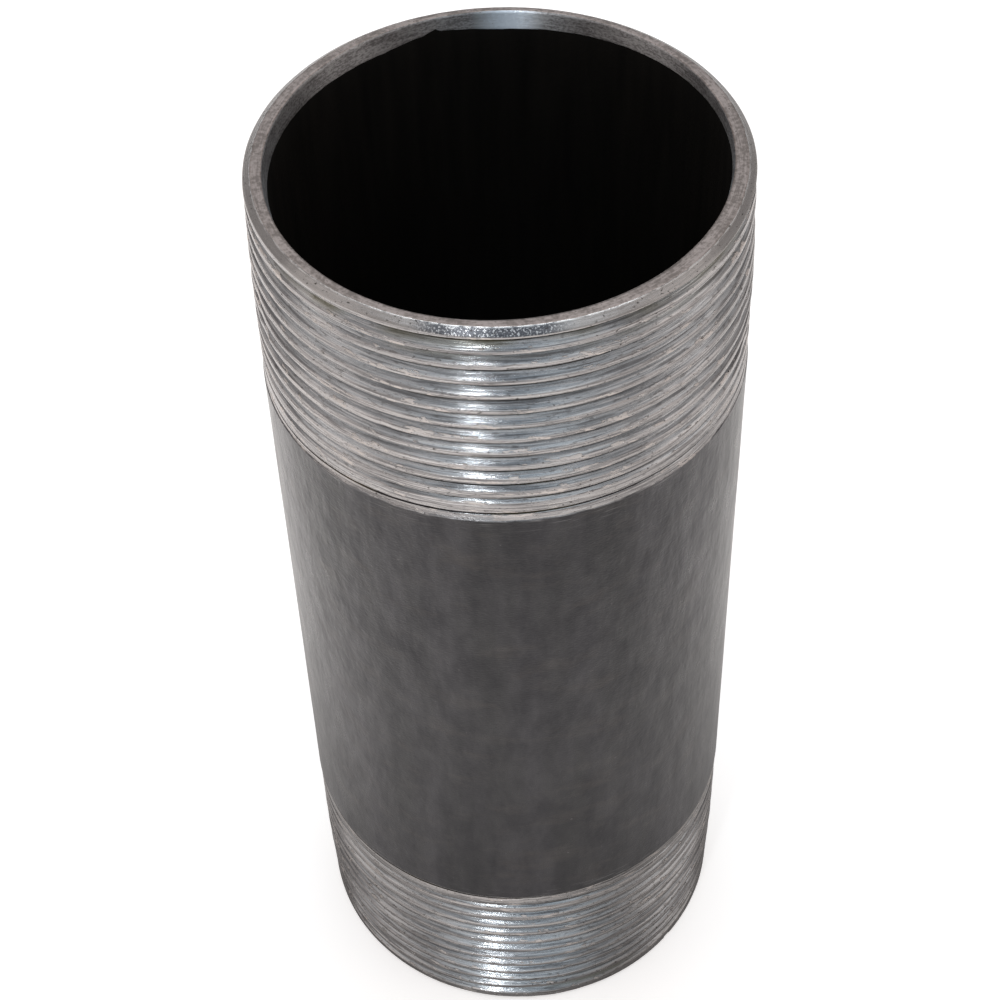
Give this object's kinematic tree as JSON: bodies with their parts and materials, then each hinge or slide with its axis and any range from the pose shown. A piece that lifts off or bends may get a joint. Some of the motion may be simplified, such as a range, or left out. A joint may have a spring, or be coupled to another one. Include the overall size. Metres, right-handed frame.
{
  "type": "threaded pipe nipple",
  "caption": "Short length of steel pipe with a right-hand taper pipe thread cut on both ends, for joining two internally threaded fittings.",
  "frame": {"origin": "centre of the bottom end face, on the pipe's axis", "axes": "+Z along the pipe's axis from the bottom end face to the top end face; the bore's weld seam is 105 degrees from +X towards +Y"},
  "size_m": [0.0604, 0.0604, 0.1397],
  "materials": {
    "black_steel": "dark lacquered mill scale on the pipe, bright cut steel on the threads and ends"
  },
  "bodies": {
    "root": {"pipe_nipple": "black_steel"}
  },
  "joints": []
}
